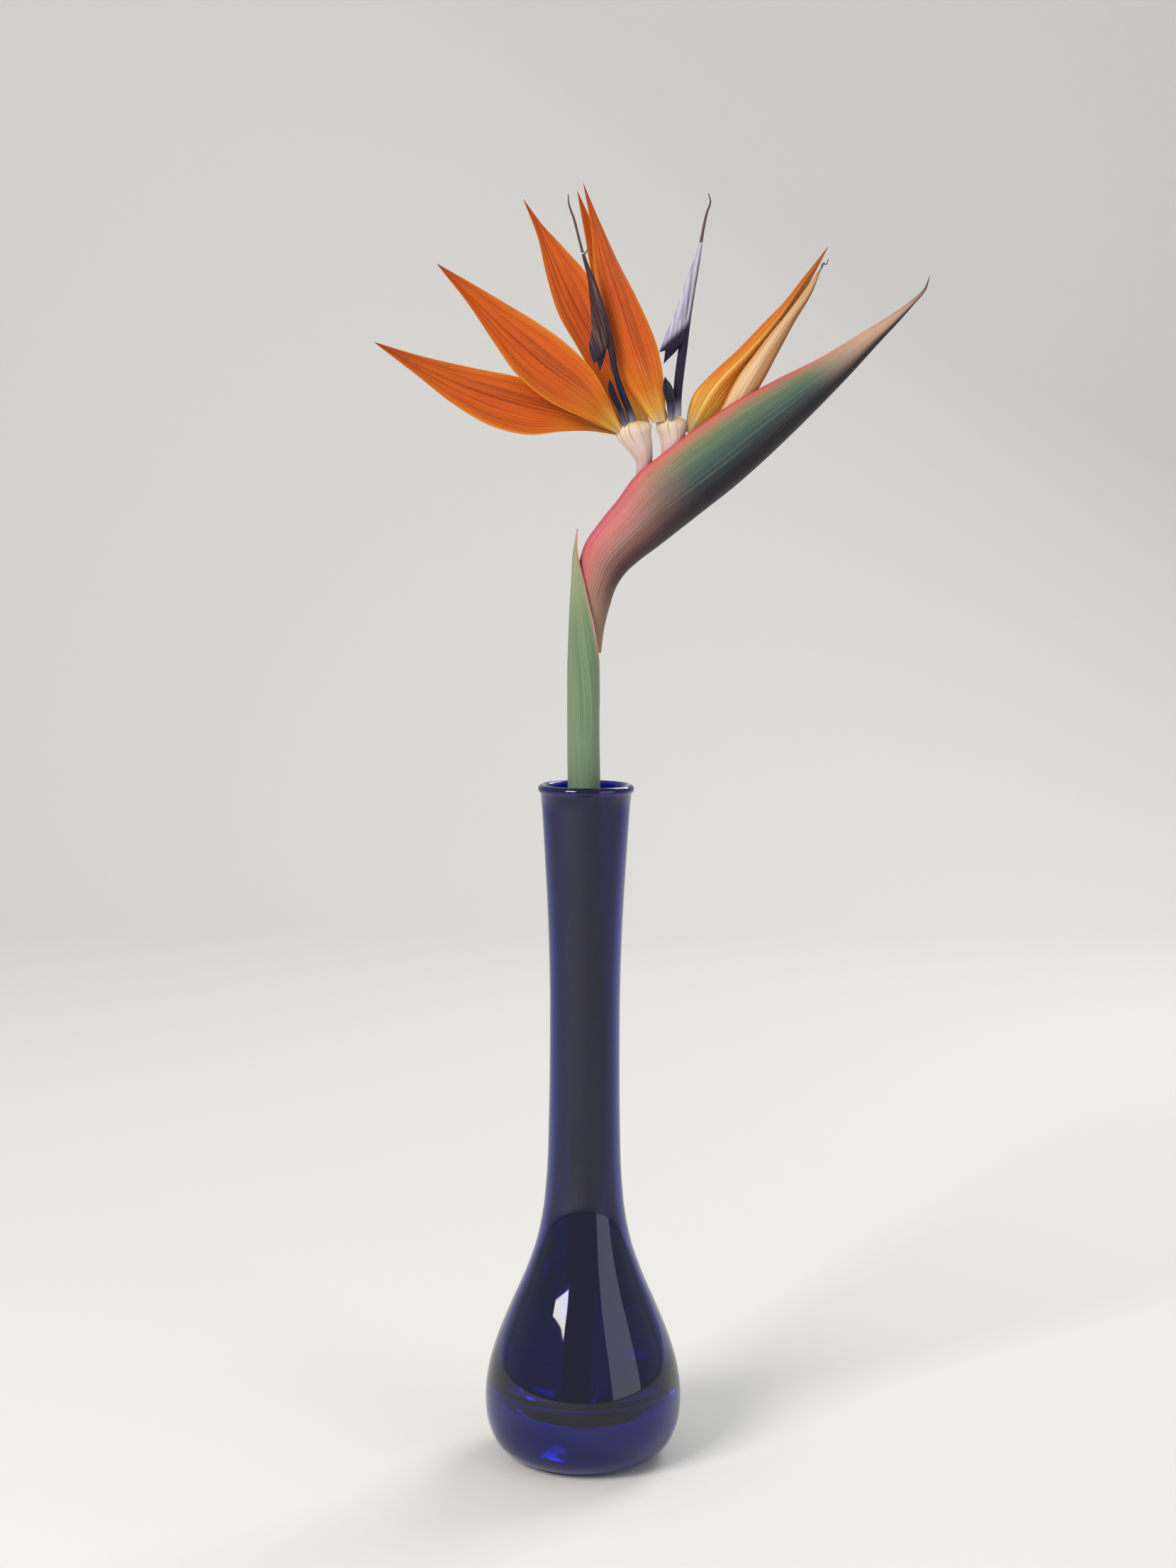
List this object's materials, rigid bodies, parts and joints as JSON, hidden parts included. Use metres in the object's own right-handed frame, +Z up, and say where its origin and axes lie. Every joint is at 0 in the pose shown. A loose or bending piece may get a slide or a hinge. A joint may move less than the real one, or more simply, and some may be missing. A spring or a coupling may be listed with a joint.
{
  "type": "bird of paradise flower in a vase",
  "caption": "Bird of paradise flower with orange sepals, dark blue tongue petals and a long green and red beak, standing on its stalk in water in a tall dark blue glass bottle vase.",
  "frame": {"origin": "centre of the vase's flat foot", "axes": "+Z up along the vase, +X the way the beak points, +Y from the front to the back"},
  "size_m": [0.2291, 0.084, 0.5385],
  "materials": {
    "vase_glass": "blown, smooth and glossy",
    "water": "clear still water",
    "stalk_green": "smooth waxy stalk",
    "sheath_green": "satin, fine lengthwise veins",
    "spathe_green": "satin with a light bloom",
    "floret_white": "soft, slightly translucent",
    "sepal_orange": "velvety petal with fine veins",
    "petal_navy": "satin petal",
    "petal_lavender": "satin petal with a bloom",
    "stigma_brown": "dry thread",
    "bud_cream": "soft ribbed petal"
  },
  "bodies": {
    "root": {"vase": "vase_glass", "water": "water", "scape": "stalk_green", "sheath": "sheath_green", "spathe": "spathe_green", "floret_a_base": "floret_white", "floret_b_base": "floret_white", "floret_c_base": "floret_white", "sepal_a_lower": "sepal_orange", "sepal_a_middle": "sepal_orange", "sepal_a_back": "sepal_orange", "sepal_b_front": "sepal_orange", "sepal_b_back": "sepal_orange", "sepal_b_keel": "sepal_orange", "arrow_a": "petal_navy", "nectary_a": "petal_navy", "nectary_b": "petal_navy", "arrow_b": "petal_lavender", "stigma_a": "stigma_brown", "stigma_b": "stigma_brown", "bud_sepal_near": "bud_cream", "bud_sepal_far": "bud_cream"}
  },
  "joints": []
}
